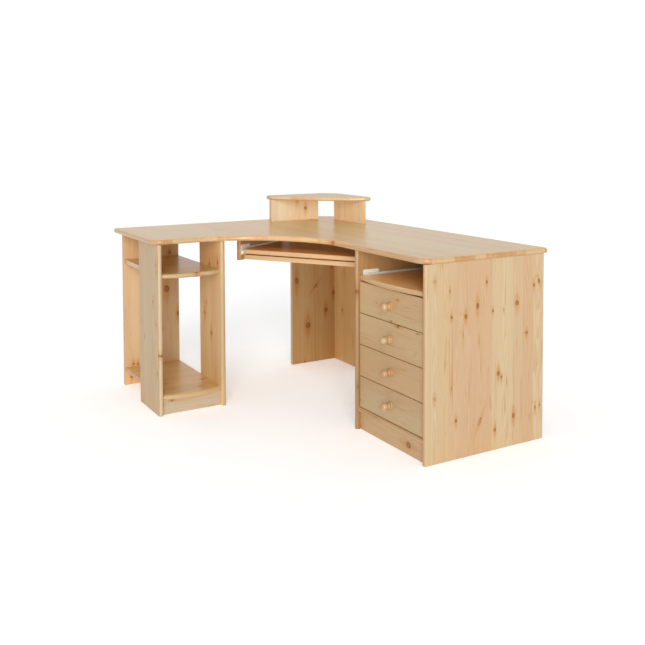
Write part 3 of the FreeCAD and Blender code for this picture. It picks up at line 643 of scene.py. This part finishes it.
# White powder coat painted a darker, warm grey: painted shade for the warm light bounced off the pine
STEEL_IN_PAINTED_SHADE = plain_material("white_powder_coat", ((0.50, 0.47, 0.40), (0.60, 0.57, 0.50)), 900.0, rough=0.38,
                       bump=0.12)
NYLON = plain_material("off_white_nylon", ((0.62, 0.60, 0.55), (0.74, 0.72, 0.66)), 240.0, rough=0.45)
ZINC = plain_material("zinc_plate", ((0.45, 0.45, 0.44), (0.62, 0.62, 0.60)), 500.0, rough=0.32, metal=1.0)

# The material of each node that isn't a pine board, by the last word of its name
FITTINGS = {"bottom": PLYWOOD, "dowels": BEECH, "rollers": NYLON, "screws": ZINC,
            "channels": STEEL_IN_PAINTED_SHADE, "runners": STEEL_IN_PAINTED_SHADE}


def dress(name, node, seed):
    """Gives a CAD node its material."""
    if name in BOARDS:
        material = pine_material(name, BOARDS[name], seed)
    else:
        material = FITTINGS[name.split("_")[-1]]
    node.data.materials.clear()
    node.data.materials.append(material)


def stage_floor():
    """A plain pale floor that falls away very slightly towards its rim."""
    step = FLOOR_SIZE / FLOOR_CELLS
    row = FLOOR_CELLS + 1
    marks = [i * step - FLOOR_SIZE / 2 for i in range(row)]
    vertices = [(x, y, -FLOOR_GAP - FLOOR_SINK * (x * x + y * y)) for x in marks for y in marks]
    faces = [(i * row + j, (i + 1) * row + j, (i + 1) * row + j + 1, i * row + j + 1)
             for i in range(FLOOR_CELLS) for j in range(FLOOR_CELLS)]
    mesh = bpy.data.meshes.new("stage_floor")
    mesh.from_pydata(vertices, [], faces)
    floor = bpy.data.objects.new("stage_floor", mesh)
    bpy.context.scene.collection.objects.link(floor)
    paint = plain_material("pale_floor", FLOOR_WHITES, 3.0, rough=0.8)
    shader = paint.node_tree.nodes["Principled BSDF"]
    shader.inputs["Emission Color"].default_value = (*WHITE, 1.0)
    shader.inputs["Emission Strength"].default_value = FLOOR_GLOW
    mesh.materials.append(paint)
    floor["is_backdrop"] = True


def distant_lamp(name, direction, width, strength):
    """A very large lamp far away, seen under the given angle, so that its light is even and shadows soft."""
    lamp = bpy.data.lights.new(name, "SUN")
    lamp.angle = math.radians(width)
    lamp.energy = strength
    light = bpy.data.objects.new(name, lamp)
    light.rotation_euler = Vector(direction).to_track_quat("Z", "Y").to_euler()
    bpy.context.scene.collection.objects.link(light)


def riser_lamp():
    """A narrow soft beam just above the desktop, on the riser."""
    low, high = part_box("riser_top")
    target = (Vector(low) + Vector(high)) / 2
    lamp = bpy.data.lights.new("riser_lamp", "SPOT")
    lamp.spot_size = math.radians(RISER_BEAM)
    lamp.spot_blend = 1.0
    lamp.shadow_soft_size = RISER_LAMP_RADIUS
    lamp.energy = RISER_LAMP_POWER
    light = bpy.data.objects.new("riser_lamp", lamp)
    light.location = target + Vector(RISER_LAMP_OFFSET)
    light.rotation_euler = (target - light.location).to_track_quat("-Z", "Y").to_euler()
    bpy.context.scene.collection.objects.link(light)


def studio():
    """White surroundings, which light the desk less than they show, two distant lamps and the riser's own."""
    world = bpy.data.worlds.new("studio")
    n = new_nodes(world)
    diffuse = n.add("ShaderNodeLightPath").outputs["Is Diffuse Ray"]
    strength = n.math("SUBTRACT", BACKDROP_GLOW, n.times(diffuse, BACKDROP_GLOW - AMBIENT))
    backdrop = n.add("ShaderNodeBackground", {"Color": WHITE, "Strength": strength})
    n.add("ShaderNodeOutputWorld", {"Surface": backdrop.outputs[0]})
    bpy.context.scene.world = world
    for lamp in DISTANT_LAMPS:
        distant_lamp(*lamp)
    riser_lamp()


def camera():
    """The camera at the photograph's angle and distance."""
    data = bpy.data.cameras.new("camera")
    data.sensor_width = SENSOR_WIDTH
    data.lens = CAMERA_LENS
    data.shift_x, data.shift_y = CAMERA_SHIFT
    eye = bpy.data.objects.new("camera", data)
    eye.location = CAMERA_PLACE
    turn = Euler((math.radians(90.0 + CAMERA_PITCH), 0.0, math.radians(CAMERA_YAW)), "XYZ").to_matrix()
    roll = Euler((0.0, 0.0, math.radians(CAMERA_ROLL)), "XYZ").to_matrix()
    eye.rotation_euler = (turn @ roll).to_euler()
    bpy.context.scene.collection.objects.link(eye)
    bpy.context.scene.camera = eye


for number, (name, node) in enumerate(sorted(frame["nodes"].items())):
    dress(name, node, FIRST_SEED + SEED_STEP * number)
stage_floor()
studio()
camera()
bpy.context.scene.view_settings.view_transform = "Standard"


def corners(box):
    """A box's two corners as plain lists of numbers."""
    return [[float(value) for value in corner] for corner in box]


{"cad": corners(cad_box), "visual": corners(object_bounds())}
